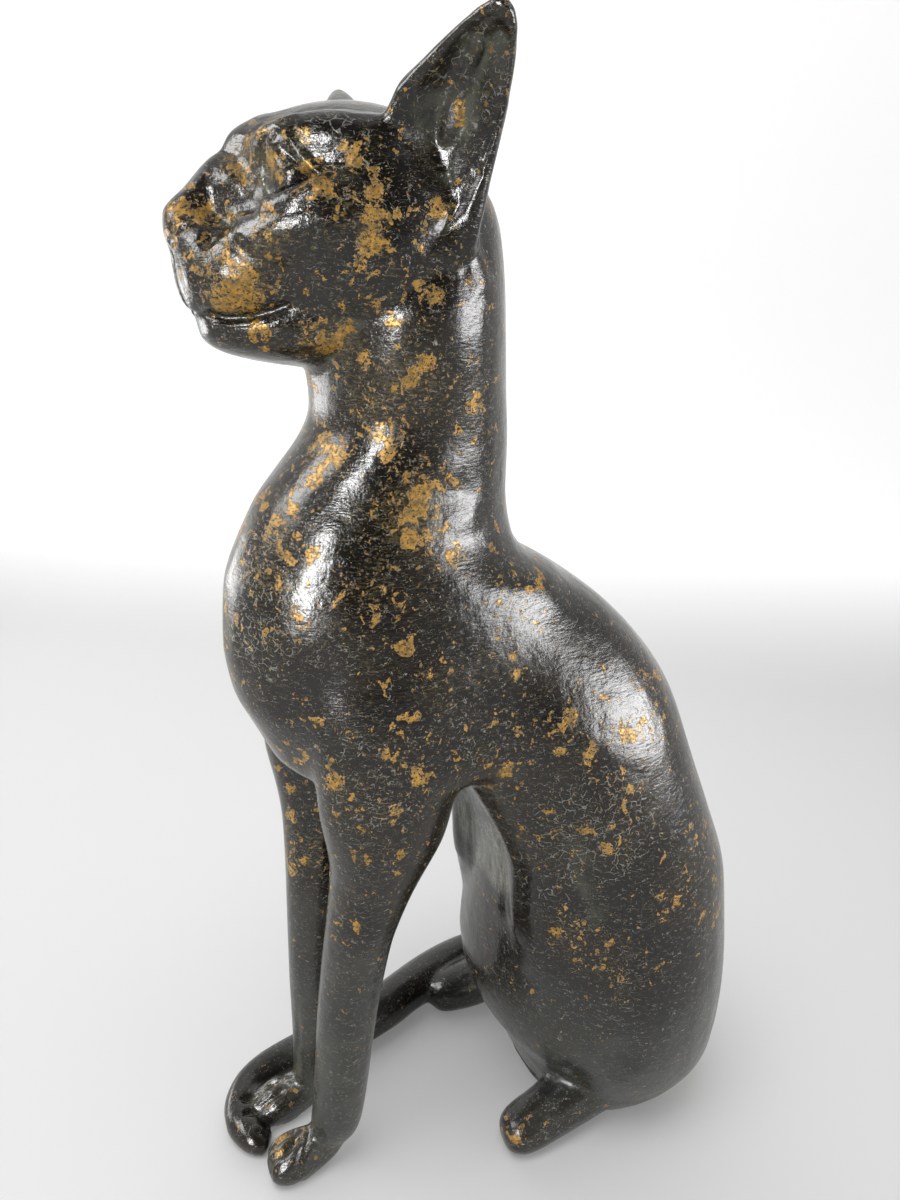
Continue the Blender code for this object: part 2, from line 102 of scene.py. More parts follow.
# Fine carving, on the cat's left and mirrored to its right: points, radius, rise.
CARVING = [
    # hollow beside the bridge of the nose
    ([(12.2, -55.5, 280.3), (9.0, -57.0, 276.5), (11.5, -56.3, 272.5), (15.7, -53.6, 270.6)], 3.2, -0.55),
    # upper lid, and the groove under it
    (
        [(16.4, -51.6, 283.0), (18.1, -50.6, 282.2), (19.4, -49.6, 280.7), (20.3, -48.4, 278.5),
         (21.4, -46.7, 276.3), (22.2, -45.2, 274.5)],
        1.2, 0.5,
    ),
    (
        [(17.2, -51.8, 280.6), (18.6, -50.6, 279.0), (19.6, -49.2, 277.0), (20.8, -47.4, 275.2),
         (21.8, -45.8, 273.9)],
        0.9, -0.4,
    ),
    # front of the eye, its lower lid and the eyeball
    (
        [(15.0, -53.2, 281.0), (14.4, -53.9, 278.5), (13.6, -54.3, 275.0), (14.2, -54.2, 272.2),
         (16.1, -53.6, 270.0)],
        1.5, -0.5,
    ),
    ([(16.1, -53.6, 270.0), (18.2, -50.9, 271.1), (20.4, -48.3, 272.4), (22.0, -45.6, 273.9)], 1.1, -0.45),
    ([(18.3, -51.2, 275.6)], 6.0, 0.55),
    # ridge of the brow
    ([(12.6, -55.2, 281.4), (15.0, -52.0, 283.4), (17.2, -48.0, 284.6)], 1.8, 0.35),
    # cheekbone, filled out above and below its ridge
    ([(18.5, -54.0, 269.3), (22.5, -50.6, 270.6), (25.0, -46.4, 272.4)], 4.5, 1.9),
    ([(19.6, -56.8, 257.8), (23.6, -51.4, 259.4), (26.6, -45.6, 262.6)], 7.5, 1.2),
    # nostril and the crease behind the nose
    ([(4.6, -70.6, 263.6), (6.6, -67.4, 264.4), (8.0, -63.6, 265.2), (9.2, -61.0, 267.4)], 1.2, -0.45),
    ([(2.2, -72.6, 261.9), (4.4, -71.4, 262.4)], 1.3, -0.5),
    # fold between the muzzle pad and the cheek
    ([(11.4, -63.2, 264.2), (16.6, -60.4, 261.6), (19.4, -56.0, 257.4)], 2.0, -0.45),
    ([(13.6, -62.4, 255.8)], 6.5, 0.5),
    # mouth, and the lower lip
    (
        [(0.0, -70.2, 248.6), (3.4, -68.6, 248.0), (6.1, -66.7, 247.6), (9.3, -63.1, 246.9),
         (11.6, -59.3, 247.0), (13.7, -55.0, 248.0), (15.7, -51.1, 249.5)],
        0.85, -0.42,
    ),
    ([(8.0, -65.3, 245.4), (10.2, -62.5, 245.3), (12.3, -59.1, 245.7), (13.7, -55.9, 246.5)], 0.85, 0.4),
    # groove under the nose
    ([(0.0, -73.4, 261.0), (0.0, -71.6, 256.0), (0.0, -70.6, 249.5)], 1.1, -0.6),
    # ear: ridge up its hollow, rims, the groove behind the back rim, and the fold at its root
    ([(43.0, -18.3, 297.2), (39.5, -18.1, 295.1), (35.6, -17.6, 291.8), (32.8, -17.5, 288.9)], 1.5, 0.6),
    ([(32.8, -17.5, 288.9), (30.6, -18.2, 285.6), (29.2, -18.7, 282.4)], 2.0, 0.6),
    ([(37.6, -21.0, 294.6), (34.0, -21.6, 291.4), (30.6, -21.6, 287.2)], 2.0, -0.6),
    ([(44.4, -16.4, 296.6), (41.6, -15.8, 292.4), (38.0, -15.9, 286.6), (34.4, -16.2, 280.6)], 1.4, -0.6),
    ([(45.1, -15.2, 296.5), (40.6, -13.6, 289.6), (36.6, -13.8, 281.6), (33.0, -15.4, 274.6)], 1.0, -0.55),
    ([(33.0, -15.4, 274.6), (30.4, -17.8, 269.6), (29.0, -21.4, 264.2), (28.8, -24.6, 260.4)], 1.5, -0.7),
    ([(29.4, -13.6, 262.0), (27.4, -11.6, 254.0)], 4.0, 0.6),
    # toes
    ([(8.6, -60.0, 13.2), (11.2, -62.6, 12.2), (13.2, -65.2, 10.6), (14.4, -67.6, 7.0)], 1.7, -0.9),
    ([(10.6, -57.6, 15.6), (13.6, -59.8, 13.0), (16.0, -62.2, 9.8), (16.8, -63.4, 6.0)], 1.6, -0.8),
    ([(9.4, -66.6, 10.6), (10.4, -69.6, 8.0), (10.8, -71.2, 4.6)], 1.2, -0.5),
    ([(32.2, -1.8, 9.8), (32.6, -3.2, 5.6)], 1.4, -0.35),
    # fullness at the front of the shoulder
    ([(21.5, -54.5, 176.0), (26.5, -47.5, 177.0)], 15.0, 1.2),
    # hollow between the neck and the shoulder, and the swelling behind it
    (
        [(18.8, -46.0, 206.8), (20.9, -41.9, 208.0), (22.8, -37.7, 208.7), (25.3, -27.9, 208.4),
         (25.4, -21.9, 207.9), (24.2, -15.2, 207.3)],
        7.0, -0.55,
    ),
    ([(24.4, -13.9, 202.1)], 7.0, 0.5),
    # front edge of the thigh, the groove inside it and the crease above the hind paw
    (
        [(22.0, -9.5, 126.0), (21.0, -5.0, 120.0), (21.0, -2.0, 114.0), (21.0, 2.2, 101.0),
         (21.5, 2.5, 88.0), (21.5, 4.0, 76.0)],
        5.0, 0.9,
    ),
    (
        [(13.0, -8.0, 122.0), (12.0, -2.0, 112.0), (12.0, 3.0, 101.0), (12.0, 4.0, 88.0),
         (12.0, 4.5, 76.0)],
        3.5, -0.8,
    ),
    ([(38.6, 16.4, 52.0), (38.0, 16.8, 41.0), (34.0, 19.6, 27.0)], 6.0, -0.5),
]

# Marks on one side only: casting bumps and dents.
MARKS = [
    ([(9.4, -45.6, 288.2)], 1.8, 0.7),
    ([(27.0, 4.0, 40.0)], 1.6, -0.35),
    ([(34.0, -20.0, 137.6), (34.3, -15.5, 134.0)], 3.0, -0.5),
    ([(34.2, -20.0, 147.7), (33.9, -18.5, 143.6), (33.6, -16.8, 138.9), (32.0, -14.4, 135.2)], 1.1, -0.3),
]

# How much gold there is round each place: centre, radius, share of the fullest.
GOLD = [
    ((12.0, -62.0, 258.0), 12.0, 0.60),
    ((10.0, -56.0, 277.0), 9.0, 0.76),
    ((18.0, -50.0, 279.0), 7.0, 0.62),
    ((24.0, -45.0, 273.0), 6.0, 0.70),
    ((22.0, -56.0, 263.0), 6.0, 0.72),
    ((3.0, -70.0, 266.0), 6.0, 0.80),
    ((27.0, -38.0, 266.0), 8.0, 0.50),
    ((29.0, -22.0, 268.0), 5.0, 0.50),
    ((30.0, -24.0, 278.0), 8.0, 0.40),
    ((26.0, -36.0, 250.0), 12.0, 0.48),
    ((17.0, -42.0, 240.0), 9.0, 0.75),
    ((22.0, -32.0, 232.0), 14.0, 0.62),
    ((14.0, -46.0, 218.0), 10.0, 0.68),
    ((24.0, -28.0, 206.0), 11.0, 0.72),
    ((27.0, -24.0, 195.0), 10.0, 0.62),
    ((15.0, -57.0, 193.0), 12.0, 0.60),
    ((28.0, -36.0, 190.0), 10.0, 0.45),
    ((18.0, -58.0, 176.0), 14.0, 0.40),
    ((28.0, -44.0, 160.0), 18.0, 0.36),
    ((32.0, -20.0, 165.0), 16.0, 0.42),
    ((30.0, -44.0, 138.0), 12.0, 0.45),
    ((34.0, -12.0, 140.0), 14.0, 0.42),
    ((36.0, 10.0, 146.0), 14.0, 0.50),
    ((38.0, 20.0, 116.0), 20.0, 0.30),
    ((35.0, 12.0, 82.0), 12.0, 0.42),
    ((43.0, 28.0, 76.0), 14.0, 0.38),
    ((45.0, 38.0, 92.0), 10.0, 0.38),
    ((42.0, 50.0, 100.0), 24.0, 0.36),
    ((30.0, 70.0, 90.0), 26.0, 0.40),
    ((0.0, 60.0, 130.0), 26.0, 0.40),
    ((0.0, 10.0, 215.0), 20.0, 0.50),
    ((0.0, 8.0, 250.0), 26.0, 0.50),
    ((0.0, -66.0, 170.0), 16.0, 0.50),
    ((0.0, -58.0, 195.0), 10.0, 0.62),
    ((11.0, -63.0, 12.0), 8.0, 0.40),
    ((12.0, -49.0, 100.0), 16.0, 0.50),
]
GOLD_ELSEWHERE = 0.32
GOLD_LOW_DOWN = 0.02
GOLD_FADES = (120, 60)  # the heights between which the gold gets less

# Single leaves of gold on the cat's left: centre, radius, strength.
LEAF = [
    ((14.9, -61.0, 251.2), 6.8, 1.0),
    ((11.6, -64.6, 256.4), 3.2, 0.7),
    ((3.4, -69.8, 268.2), 3.4, 0.9),
    ((7.2, -64.6, 268.8), 3.2, 0.9),
    ((7.4, -58.4, 276.0), 2.6, 0.8),
    ((11.2, -54.4, 284.0), 2.6, 0.8),
    ((14.6, -51.6, 284.4), 2.6, 0.7),
    ((16.2, -52.6, 277.0), 3.0, 1.0),
    ((20.4, -46.6, 281.0), 2.8, 0.8),
    ((18.4, -53.6, 268.2), 2.4, 0.8),
    ((25.0, -45.0, 272.0), 2.2, 0.7),
    ((27.4, -34.9, 274.6), 2.2, 1.0),
    ((27.9, -35.5, 270.6), 2.6, 1.0),
    ((28.5, -36.3, 266.4), 2.8, 0.9),
    ((28.0, -36.2, 261.4), 3.4, 1.0),
    ((26.9, -38.4, 257.4), 2.4, 0.8),
    ((29.0, -22.4, 267.8), 2.8, 1.0),
    ((28.8, -25.8, 264.6), 2.2, 0.9),
    ((28.6, -25.9, 260.6), 1.8, 0.8),
    ((28.3, -22.7, 251.4), 2.6, 1.0),
    ((25.4, -30.7, 246.0), 2.2, 0.9),
    ((16.6, -42.0, 241.0), 3.6, 0.75),
    ((20.0, -36.0, 238.0), 3.4, 0.6),
    ((26.0, -28.4, 204.8), 3.2, 0.75),
    ((26.0, -19.7, 200.7), 2.2, 0.9),
    ((26.6, -24.9, 199.5), 2.6, 0.8),
    ((27.1, -17.8, 193.8), 3.8, 0.7),
    ((22.8, -6.1, 193.3), 1.8, 1.0),
    ((28.0, -33.4, 193.4), 2.4, 0.7),
    ((24.5, -16.2, 210.1), 2.4, 0.9),
    ((12.4, -43.2, 219.0), 3.0, 0.8),
    ((29.7, -32.1, 184.6), 2.4, 0.8),
    ((31.2, -26.9, 173.7), 1.7, 0.9),
    ((32.3, -26.2, 167.4), 1.7, 0.9),
    ((32.0, -3.2, 163.0), 2.2, 1.0),
    ((31.6, -3.6, 168.2), 1.8, 0.8),
    ((27.5, -49.6, 140.4), 2.8, 1.0),
    ((27.2, -49.3, 131.7), 2.2, 0.9),
    ((34.1, -36.2, 133.7), 2.4, 1.0),
    ((34.8, -33.2, 145.4), 1.8, 0.9),
    ((34.2, -34.3, 153.9), 1.6, 0.8),
    ((33.0, -6.3, 137.1), 2.8, 1.0),
    ((36.4, 9.9, 151.0), 3.0, 0.9),
    ((37.4, 6.9, 142.8), 2.2, 0.8),
    ((38.8, 14.7, 141.4), 2.6, 0.9),
    ((39.0, 14.6, 138.0), 2.0, 0.8),
    ((38.8, 14.1, 118.3), 2.6, 1.0),
    ((39.6, 16.0, 118.0), 1.8, 1.0),
    ((40.7, 20.7, 111.2), 2.4, 1.0),
    ((30.6, -0.3, 117.8), 2.0, 1.0),
    ((44.9, 36.5, 95.0), 2.6, 0.9),
    ((43.3, 26.0, 71.4), 2.6, 1.0),
    ((43.9, 28.8, 82.0), 2.0, 0.9),
    ((33.9, 10.2, 83.0), 3.4, 0.8),
    ((36.2, 14.9, 85.6), 2.0, 0.8),
    ((36.8, 15.9, 73.8), 2.0, 0.7),
    ((32.4, -34.6, 119.6), 2.6, 0.8),
    ((31.2, -35.1, 113.8), 2.0, 0.7),
    ((11.9, -52.2, 117.2), 3.2, 0.8),
    ((12.1, -52.4, 108.8), 3.6, 0.8),
    ((11.3, -52.5, 100.0), 2.6, 0.6),
    ((22.1, -55.0, 161.4), 2.2, 0.7),
    ((13.2, -62.6, 9.0), 2.2, 0.8),
]

# Where the lacquer has crackled: centre, radius, how much.
CRACKLE = [
    ((40.0, 18.0, 118.0), 20.0, 1.0),
    ((31.0, 6.0, 100.0), 12.0, 0.7),
    ((30.0, -44.0, 140.0), 18.0, 0.7),
    ((34.0, -14.0, 150.0), 14.0, 0.6),
    ((24.0, -40.0, 236.0), 16.0, 0.5),
    ((23.0, -43.0, 280.0), 8.0, 0.9),
    ((0.0, 68.0, 110.0), 30.0, 0.7),
    ((39.0, -18.0, 288.0), 13.0, 0.8),
    ((14.0, -62.0, 180.0), 15.0, 1.0),
]
CRACKLE_ELSEWHERE = 0.25

# Bare satin places, where the lacquer is thin and grey: centre, radius, how bare.
BARE = [
    ((14.0, -42.0, 30.0), 34.0, 1.0),
    ((14.0, -40.0, 70.0), 20.0, 0.7),
    ((30.0, 16.0, 34.0), 30.0, 0.8),
    ((40.0, 50.0, 24.0), 34.0, 0.6),
    # the front of the belly between the thighs: pale and chalky, partly real upright strokes and partly
    # painted reflection of the bright floor in front
    ((8.0, -1.0, 92.0), 15.0, 2.0),
    ((13.0, -55.6, 274.6), 5.0, 1.0),
    ((11.6, -57.6, 279.6), 3.4, 0.8),
    ((40.0, -17.5, 293.5), 6.0, 0.7),
    ((31.0, -18.0, 285.5), 4.0, 0.8),
    ((1.0, -71.0, 254.6), 2.6, 0.9),
]
# Barer than this is only the front of the belly, which gets pale upright strokes: partly real chalky
# strokes, partly painted reflection that lightens it.
CHALK_AND_SHEEN = 1.0  # barer than this, the place is chalky too and takes little gold

CRUMPLED = 0.6  # how crumpled the lacquer is on the face, and where that starts and is full
CRUMPLED_HEIGHTS = (226, 246)
CRUMPLED_ALONG = (-26, -38)
DEEP_HOLLOW = 0.22  # how far a full hollow lies below the skin round it

# Where a leaf of gold begins and is solid, and the flakes of gold, large to small: where their
# pattern is moved to, its scale and detail, where a flake begins, how much more of them a gilded
# place has, and how solid they are.
LEAF_EDGE = (2.06, 2.12)
FLAKES = (
    ((31.0, 17.0, 5.0), 0.16, 5.0, 0.810, 0.16, 1.0),
    ((5.0, 41.0, 13.0), 0.42, 4.0, 0.815, 0.16, 0.9),
    ((7.0, 53.0, 29.0), 1.15, 3.0, 0.820, 0.15, 0.5),
)
FLAKE_EDGE = 0.012

# Hair lines: how each kind is drawn out, where it is moved to, its scale, and where it begins.
SCRATCHES = (
    ((1.0, 1.0, 3.0), (3.0, 1.0, 9.0), 0.15, 0.52),
    ((1.0, 1.0, 2.4), (41.0, 23.0, 77.0), 0.26, 0.54),
    ((1.0, 1.0, 1.0), (13.0, 63.0, 7.0), 0.20, 0.58),
)
MILLIMETRES = (1000.0, 1000.0, 1000.0)  # the finish is laid out in millimetres
BUMP_STRENGTH = 0.6
BUMP_HEIGHT = 0.0004

# Studio lamps: name, heading round the cat from its front towards its left, elevation,
# distance and size in metres, power in watts, which thing it lights, and whether it casts shadows.
LAMPS = [
    ("key", 40, 14, 0.95, 0.12, 0.45, 11.0, "cat_skin", True),
    ("window", 142, 2, 1.0, 0.62, 0.34, 12.0, "cat_skin", True),
    ("skylight", -12, 38, 1.1, 0.60, 0.40, 8.5, "cat_skin", True),
    ("sheen", -46, -2, 0.85, 0.50, 0.24, 2.2, "cat_skin", True),
    ("overhead", 40, 70, 1.0, 0.60, 0.60, 4.1, "paper_sweep", True),
    ("floor_fill", 30, 70, 1.0, 0.60, 0.60, 3.2, "paper_sweep", False),
]

# The side from which the room is dark: heading, elevation, and how many degrees from there it is
# fully dark and fully light again.
DARK_SIDE = (65, 25, 35, 62)

# The paper, in metres: where it ends in front and above, the way in which it rises, the steps of
# its bend, between which heights its glow comes up, and which way and how far its colour is darkened as
# painted shade.
SWEEP_FRONT = 1.6
SWEEP_TOP = 2.6
SWEEP_HEADING = (-0.834, 0.553, 0.0)
BEND_STEPS = 24
GLOW_HEIGHTS = (0.0, 0.05)
PAPER_PAINTED_SHADE_WAY = (0.383, 0.924, 0.0)
PAPER_PAINTED_SHADE_SPAN = (-0.30, 0.40)

# The camera: its place in the carver's measure, the way it looks seen from above, the sine of
# the angle by which it looks down, and its sensor in millimetres.
EYE = (212.6, -95.8, 254.6)
VIEW_HEADING = (-0.924, 0.383, 0.0)
VIEW_FALL = 0.3355
SENSOR = 36.0
NEAREST_SEEN = 0.01


class CatSettings(bpy.types.PropertyGroup):
    """Sizes of the cat's skin and colours of its finish."""

    skin_cuts: IntProperty(
        name="Skin cuts",
        description="Cuts across every edge of the casting that make the finer skin",
        default=3,
        min=1,
    )
    relax_rounds: IntProperty(
        name="Smoothing rounds",
        description="How often the flat faces of the casting are eased away",
        default=40,
        min=0,
    )
    soft_rounds: IntProperty(
        name="Softening rounds",
        description="How often the sides of the shoulders and the cheekbones are softened",
        default=60,
        min=0,
    )
    carving_depth: FloatProperty(
        name="Carving depth",
        description="How deep the fine carving goes, as a share of its full depth",
        default=1.0,
        subtype="FACTOR",
    )
    lacquer: FloatVectorProperty(
        name="Lacquer",
        description="Colour of the dark lacquer",
        default=(0.0030, 0.0026, 0.0021),
        subtype="COLOR",
    )
    lacquer_warm: FloatVectorProperty(
        name="Warm lacquer",
        description="Colour of the lacquer where brown shows through it",
        default=(0.0085, 0.0058, 0.0034),
        subtype="COLOR",
    )
    satin: FloatVectorProperty(
        name="Satin",
        description="Grey of the places where the lacquer is thin",
        default=(0.021, 0.0215, 0.0185),
        subtype="COLOR",
    )
    verdigris: FloatVectorProperty(
        name="Verdigris",
        description="Grey green that sits in the hollows",
        default=(0.050, 0.055, 0.038),
        subtype="COLOR",
    )
    dust: FloatVectorProperty(
        name="Dust",
        description="Olive dusting over the lacquer",
        default=(0.040, 0.031, 0.013),
        subtype="COLOR",
    )
    gold: FloatVectorProperty(
        name="Gold",
        description="Colour of the rubbed gold",
        default=(0.33, 0.175, 0.028),
        subtype="COLOR",
    )
    gold_dull: FloatVectorProperty(
        name="Dull gold",
        description="Colour of the gold where it is thin",
        default=(0.12, 0.075, 0.018),
        subtype="COLOR",
    )
    scratch: FloatVectorProperty(
        name="Scratch",
        description="Colour of the hair lines in the lacquer",
        default=(0.24, 0.235, 0.20),
        subtype="COLOR",
    )
    roughness: FloatProperty(
        name="Roughness",
        description="How dull the lacquer is",
        default=0.17,
        min=0.0,
        max=1.0,
        subtype="FACTOR",
    )


class StudioSettings(bpy.types.PropertyGroup):
    """Sizes and brightness of the studio."""

    sweep_width: FloatProperty(
        name="Sweep width",
        description="Width of the paper sweep",
        default=5.0,
        unit="LENGTH",
    )
    sweep_back: FloatProperty(
        name="Sweep back",
        description="How far behind the cat the paper begins to rise",
        default=0.31,
        unit="LENGTH",
    )
    sweep_bend: FloatProperty(
        name="Sweep bend",
        description="Radius of the bend where the paper rises",
        default=0.25,
        unit="LENGTH",
    )
    paper: FloatVectorProperty(
        name="Paper",
        description="Colour of the paper sweep",
        default=(0.82, 0.825, 0.82),
        subtype="COLOR",
    )
    # Painted shade: the paper's colour towards one side, darker to stand in for light falling off.
    paper_painted_shade: FloatVectorProperty(
        name="Far paper",
        description="Colour of the paper away from the window",
        default=(0.66, 0.665, 0.66),
        subtype="COLOR",
    )
    room_light: FloatProperty(
        name="Room light",
        description="Strength of the even light from all round",
        default=0.72,
        min=0.0,
    )
    room_dark: FloatProperty(
        name="Dark side",
        description="Strength of that light from the side where the room is dark",
        default=0.06,
        min=0.0,
    )
    paper_glow: FloatProperty(
        name="Paper glow",
        description="Light that comes through the paper above the floor",
        default=0.48,
        min=0.0,
    )
    lens: FloatProperty(
        name="Lens",
        description="Focal length in millimetres on a 36 mm sensor",
        default=27.0,
    )


def carved(mesh):
    """The mesh's points in the carver's measure."""
    points = np.empty(len(mesh.vertices) * 3)
    mesh.vertices.foreach_get("co", points)
    return (points.reshape(-1, 3) - ORIGIN) / UNIT


def put_back(mesh, points):
    """Moves the mesh's points to these, given in the carver's measure."""
    mesh.vertices.foreach_set("co", (points * UNIT + ORIGIN).ravel())
    mesh.update()


def outward(mesh):
    """The direction in which the skin faces at each point."""
    normals = np.empty(len(mesh.vertices) * 3)
    mesh.vertex_normals.foreach_get("vector", normals)
    return normals.reshape(-1, 3)


def rounded_points(mesh, casting):
    """Moves the skin's points onto a curved surface through the casting's corners."""
    casting.calc_loop_triangles()
    corners = np.array([v.co for v in casting.vertices])
    normals = outward(casting)
    triangles = [tuple(t.vertices) for t in casting.loop_triangles]
    tree = BVHTree.FromPolygons([Vector(c) for c in corners], triangles)
    places = np.array([v.co for v in mesh.vertices])
    found = [tree.find_nearest(Vector(p)) for p in places]
    nearest = np.array([f[0] for f in found])
    triangle = np.array(triangles)[[f[2] for f in found]]
    a, b, c = (corners[triangle[:, i]] for i in range(3))
    whole = np.cross(b - a, c - a)
    size = np.maximum((whole * whole).sum(1), TINY * TINY)
    share_a = (np.cross(b - nearest, c - nearest) * whole).sum(1) / size
    share_b = (np.cross(c - nearest, a - nearest) * whole).sum(1) / size
    shares = (share_a, share_b, 1 - share_a - share_b)
    curved = np.zeros_like(nearest)
    for share, corner, i in zip(shares, (a, b, c), range(3)):
        facing = normals[triangle[:, i]]
        height = ((nearest - corner) * facing).sum(1)
        curved += share[:, None] * (nearest - facing * height[:, None])
    mesh.vertices.foreach_set("co", (nearest + ROUNDING * (curved - nearest)).ravel())
    mesh.update()


def finer_skin(casting, cuts):
    """The casting's mesh cut finer and curved through its corners."""
    work = bmesh.new()
    work.from_mesh(casting)
    bmesh.ops.remove_doubles(work, verts=work.verts, dist=SAME_CORNER)
    whole = bpy.data.meshes.new("casting")
    work.to_mesh(whole)
    bmesh.ops.subdivide_edges(work, edges=work.edges[:], cuts=cuts, use_grid_fill=True)
    bmesh.ops.triangulate(work, faces=[f for f in work.faces if len(f.verts) > 3])
    finer = bpy.data.meshes.new("cat_skin")
    work.to_mesh(finer)
    work.free()
    rounded_points(finer, whole)
    bpy.data.meshes.remove(whole)
    return finer


def edge_ends(mesh):
    """The two ends of every edge."""
    ends = np.empty(len(mesh.edges) * 2, dtype=np.int64)
    mesh.edges.foreach_get("vertices", ends)
    return ends.reshape(-1, 2).T


def neighbour_mean(points, ends, counts):
    """The mean of the points next to each point."""
    first, second = ends
    total = np.zeros_like(points)
    for axis in range(points.shape[1]):
        total[:, axis] = np.bincount(first, points[second, axis], len(points))
        total[:, axis] += np.bincount(second, points[first, axis], len(points))
    return total / counts[:, None]


def relaxed(points, ends, rounds, share=1.0, pull=0.6, push=-0.62):
    """Smooths the points without shrinking the form. Share says how much, point by point."""
    counts = np.maximum(np.bincount(ends.ravel(), minlength=len(points)), 1)
    weight = np.broadcast_to(share, (len(points),))[:, None]
    for _ in range(rounds):
        for step in (pull, push):
            points = points + weight * step * (neighbour_mean(points, ends, counts) - points)
    return points


def ramp(value, start, end):
    """A smooth step from zero at start to one at end."""
    t = np.clip((value - start) / (end - start), 0, 1)
    return t * t * (3 - 2 * t)


def band(value, start, full, fade, end):
    """One between full and fade, falling smoothly to zero at start and at end."""
    return ramp(value, start, full) * ramp(value, end, fade)


def left_hand(points):
    """The points as if all were on the cat's left side, with its right ear upright."""
    flipped = points.copy()
    right = points[:, 0] < 0
    ear = right & (points[:, 1] > EAR_FRONT) & (points[:, 0] < -EAR_INNER)
    flipped[ear, 1] += EAR_LEAN * np.maximum(points[ear, 2] - EAR_ROOT, 0)
    flipped[right, 0] *= -1
    return flipped


def gap_to(points, path):
    """How far each point lies from a path of straight runs."""
    least = np.full(len(points), np.inf)
    for start, end in zip(path, path[1:] or path):
        run = np.subtract(end, start)
        share = np.clip((points - start) @ run / max(run @ run, TINY), 0, 1)
        gap = np.linalg.norm(points - start - share[:, None] * run, axis=1)
        least = np.minimum(least, gap)
    return least


def carve(mesh, strokes, depth, both_sides):
    """Raises or sinks the skin along each stroke."""
    points = carved(mesh)
    normals = outward(mesh)
    place = left_hand(points) if both_sides else points
    rise = np.zeros(len(points))
    for path, radius, height in strokes:
        near = gap_to(place, [np.array(p, float) for p in path]) / radius
        rise += height * np.clip(1 - near**2, 0, 1) ** 2
    put_back(mesh, points + normals * (depth * rise)[:, None])


def refine(mesh, wanted):
    """Halves the faces whose middles the test wants, and evens the new points out."""
    work = bmesh.new()
    work.from_mesh(mesh)
    middles = np.array([f.calc_center_median() for f in work.faces])
    chosen = wanted((middles - ORIGIN) / UNIT)
    edges = {e for f, pick in zip(work.faces, chosen) if pick for e in f.edges}
    bmesh.ops.subdivide_edges(work, edges=list(edges), cuts=1, use_grid_fill=True)
    bmesh.ops.triangulate(work, faces=[f for f in work.faces if len(f.verts) > 4])
    work.to_mesh(mesh)
    work.free()
    points = carved(mesh)
    inside = wanted(points).astype(float)
    evened = relaxed(points, edge_ends(mesh), rounds=6, share=inside, pull=0.5, push=-0.53)
    put_back(mesh, evened)


def is_face(points):
    """Eyes, nose and mouth."""
    front = (points[:, 1] < FACE_FRONT) & (np.abs(points[:, 0]) < FACE_HALF)
    return front & (points[:, 2] > FACE_LOW) & (points[:, 2] < FACE_HIGH)


def to_soften(points):
    """How far each point belongs to the side of a shoulder, to a cheekbone or to the loin."""
    height = band(points[:, 2], *SHOULDER_HEIGHTS)
    along = band(points[:, 1], *SHOULDER_ALONG)
    share = height * along * ramp(np.abs(points[:, 0]), *SHOULDER_ACROSS)
    for path, reach in SOFTENED:
        away = gap_to(left_hand(points), [np.array(p, float) for p in path])
        share = np.maximum(share, ramp(away, reach, 0.4 * reach))
    return share


def smooth(mesh, look):
    """Eases the casting's flat faces away, most on the body, and softens some places more."""
    points = carved(mesh)
    ends = edge_ends(mesh)
    share = FINE_SHARE + (1 - FINE_SHARE) * band(points[:, 2], *BODY_HEIGHTS)
    points = relaxed(points, ends, look.relax_rounds, share)
    softer = relaxed(points, ends, look.soft_rounds, to_soften(points), pull=0.5, push=0.0)
    put_back(mesh, softer)


def flat_below(mesh):
    """Sets the skin down flat on the floor."""
    points = carved(mesh)
    points[:, 2] = np.where(points[:, 2] < FLAT_SOLE, 0, points[:, 2])
    put_back(mesh, points)


def kept_inside(mesh):
    """Keeps the skin inside the casting's own box."""
    points = carved(mesh)
    low = (np.array(LOW) - ORIGIN) / UNIT
    high = (np.array(HIGH) - ORIGIN) / UNIT
    put_back(mesh, np.clip(points, low, high))


def store(mesh, name, values):
    """Keeps a value for each point of the skin, for the finish to read."""
    held = mesh.attributes.new(name, "FLOAT", "POINT")
    held.data.foreach_set("value", values.astype(np.float32))


def spread(points, spots, start, end):
    """The strongest of several soft spots at each point, fading from start to end radii."""
    most = np.zeros(len(points))
    for centre, radius, amount in spots:
        away = np.linalg.norm(points - np.array(centre, float), axis=1) / radius
        most = np.maximum(most, amount * (1 - ramp(away, start, end)))
    return most


def mark_finish(mesh):
    """Says where gold, leaves, bare satin, crumpling, crackle and hollows are."""
    points = carved(mesh)
    place = left_hand(points)
    low_down = ramp(points[:, 2], *GOLD_FADES)
    gold = GOLD_ELSEWHERE + (GOLD_LOW_DOWN - GOLD_ELSEWHERE) * low_down
    bare = spread(place, BARE, start=0.6, end=1.3)
    gilded = 1 - 0.8 * ramp(bare, CHALK_AND_SHEEN, CHALK_AND_SHEEN + 0.5)
    gold = np.maximum(gold, spread(place, GOLD, start=0.4, end=1.5))
    store(mesh, "gold", gilded * gold)
    store(mesh, "leaf", spread(place, LEAF, start=0.2, end=1.35))
    store(mesh, "bare", bare)
    high_up = ramp(points[:, 2], *CRUMPLED_HEIGHTS)
    store(mesh, "crumpled", CRUMPLED * high_up * ramp(points[:, 1], *CRUMPLED_ALONG))
    crackle = spread(place, CRACKLE, start=0.6, end=1.3)
    store(mesh, "crackle", np.maximum(CRACKLE_ELSEWHERE, crackle))
    ends = edge_ends(mesh)
    soft = relaxed(points, ends, rounds=14, push=0.0)
    depth = ((soft - points) * outward(mesh)).sum(1)
    depth = relaxed(depth[:, None], ends, rounds=3, push=0.0)[:, 0]
    store(mesh, "hollow", np.clip(depth / DEEP_HOLLOW, -1, 1))


